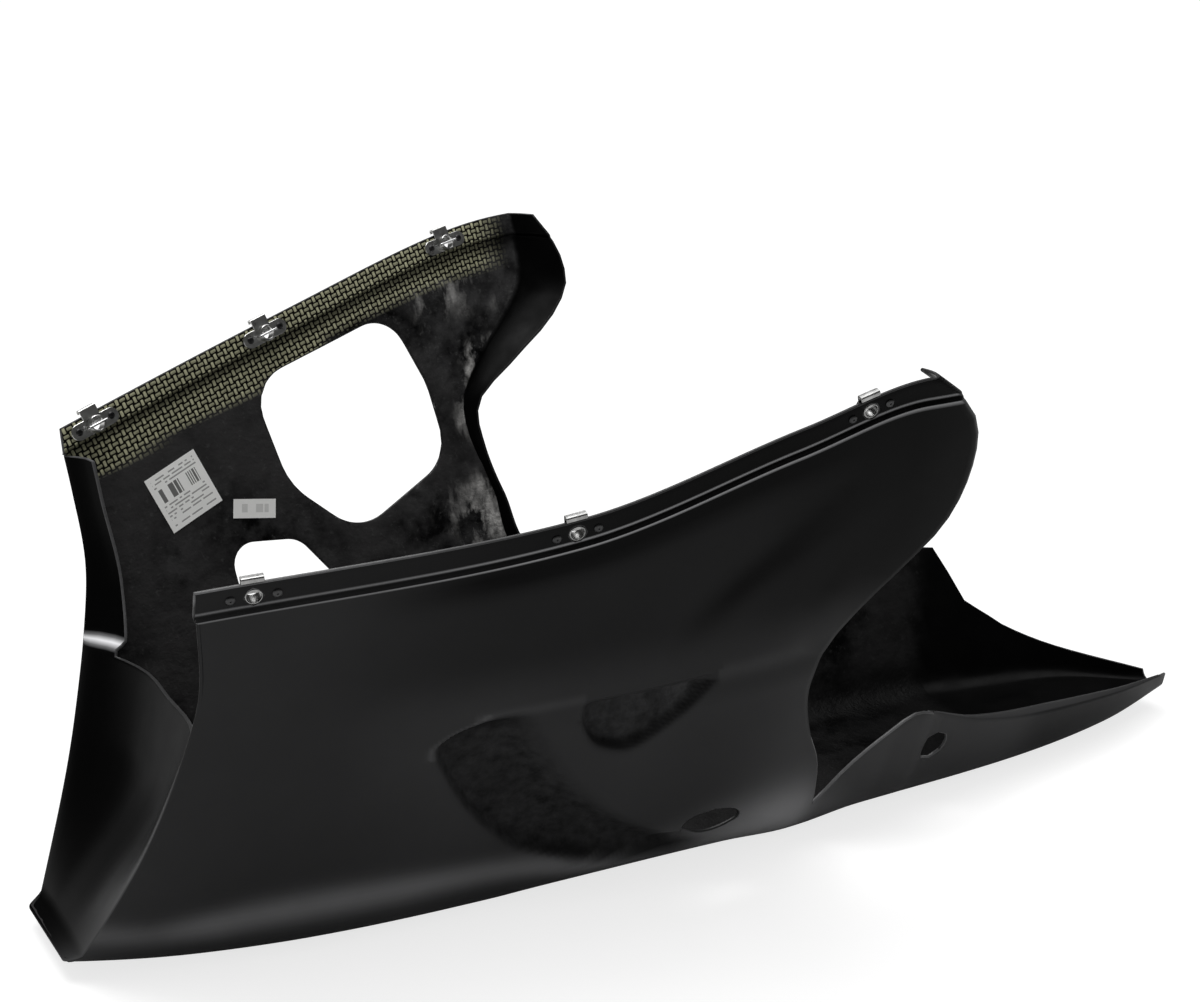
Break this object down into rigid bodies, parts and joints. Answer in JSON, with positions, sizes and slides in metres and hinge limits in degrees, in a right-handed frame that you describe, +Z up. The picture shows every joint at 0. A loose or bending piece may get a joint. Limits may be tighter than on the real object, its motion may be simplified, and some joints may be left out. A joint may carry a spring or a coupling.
{
  "type": "motorcycle belly pan",
  "caption": "Lower fairing tub for a motorcycle: one moulded black shell with sunk flanges, a closed front, window cut-outs and riveted quarter-turn receptacles.",
  "frame": {"origin": "on the underside of the keel, on the bike's centre plane, in the middle of the keel's flat length", "axes": "+X towards the tail of the bike, +Y towards the bike's right, +Z up"},
  "size_m": [0.903, 0.4502, 0.402],
  "materials": {
    "laminate": "satin black moulded laminate, woven cloth showing along the inside of the right flange",
    "plate": "zinc-plated sheet",
    "wire": "bright spring wire",
    "rivet": "satin",
    "label": "white film with plain grey bars"
  },
  "bodies": {
    "root": {"shell": "laminate", "receptacle_left_front": "plate", "receptacle_left_middle": "plate", "receptacle_left_rear": "plate", "receptacle_right_front": "plate", "receptacle_right_middle": "plate", "receptacle_right_rear": "plate", "spring_left_front": "wire", "spring_left_middle": "wire", "spring_left_rear": "wire", "spring_right_front": "wire", "spring_right_middle": "wire", "spring_right_rear": "wire", "rivets_left_front": "rivet", "rivets_left_middle": "rivet", "rivets_left_rear": "rivet", "rivets_right_front": "rivet", "rivets_right_middle": "rivet", "rivets_right_rear": "rivet", "large_label": "label", "small_label": "label"}
  },
  "joints": []
}
